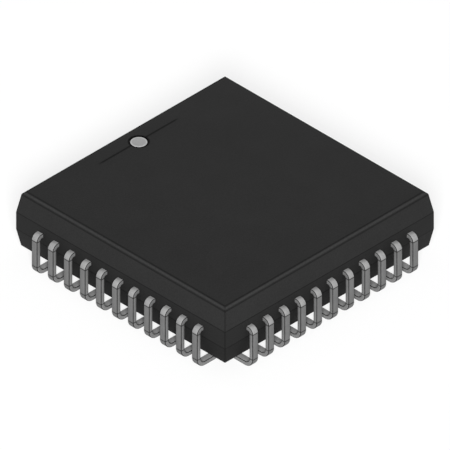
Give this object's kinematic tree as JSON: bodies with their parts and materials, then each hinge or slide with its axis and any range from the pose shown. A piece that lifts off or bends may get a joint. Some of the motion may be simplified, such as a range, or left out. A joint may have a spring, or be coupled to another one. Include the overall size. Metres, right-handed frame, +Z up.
{
  "type": "plastic leaded chip carrier",
  "caption": "Square black plastic chip carrier with plated J-shaped leads on all four sides, a bevelled top edge and a round pin-one index mark.",
  "frame": {"origin": "middle of the seating plane, at the soles of the feet", "axes": "+Z up out of the top face, +Y towards the side whose middle lead is pin one, beside the index mark"},
  "size_m": [0.0176, 0.0176, 0.0046],
  "materials": {
    "mould_compound": "fine matt epoxy moulding",
    "tin_plate": "satin tin plate on copper alloy",
    "index_paint": "pale grey paint",
    "leadframe_copper": "bare rolled copper alloy",
    "die_adhesive": "cured silver-filled epoxy",
    "silicon": "polished silicon",
    "gold_wire": "drawn gold wire"
  },
  "bodies": {
    "root": {"lead_01": "tin_plate", "lead_02": "tin_plate", "lead_03": "tin_plate", "lead_04": "tin_plate", "lead_05": "tin_plate", "lead_06": "tin_plate", "lead_07": "tin_plate", "lead_08": "tin_plate", "lead_09": "tin_plate", "lead_10": "tin_plate", "lead_11": "tin_plate", "lead_12": "tin_plate", "lead_13": "tin_plate", "lead_14": "tin_plate", "lead_15": "tin_plate", "lead_16": "tin_plate", "lead_17": "tin_plate", "lead_18": "tin_plate", "lead_19": "tin_plate", "lead_20": "tin_plate", "lead_21": "tin_plate", "lead_22": "tin_plate", "lead_23": "tin_plate", "lead_24": "tin_plate", "lead_25": "tin_plate", "lead_26": "tin_plate", "lead_27": "tin_plate", "lead_28": "tin_plate", "lead_29": "tin_plate", "lead_30": "tin_plate", "lead_31": "tin_plate", "lead_32": "tin_plate", "lead_33": "tin_plate", "lead_34": "tin_plate", "lead_35": "tin_plate", "lead_36": "tin_plate", "lead_37": "tin_plate", "lead_38": "tin_plate", "lead_39": "tin_plate", "lead_40": "tin_plate", "lead_41": "tin_plate", "lead_42": "tin_plate", "lead_43": "tin_plate", "lead_44": "tin_plate", "moulded_body": "mould_compound", "index_paint": "index_paint", "die_paddle": "leadframe_copper", "die_adhesive": "die_adhesive", "silicon_die": "silicon", "bond_wires": "gold_wire"}
  },
  "joints": []
}
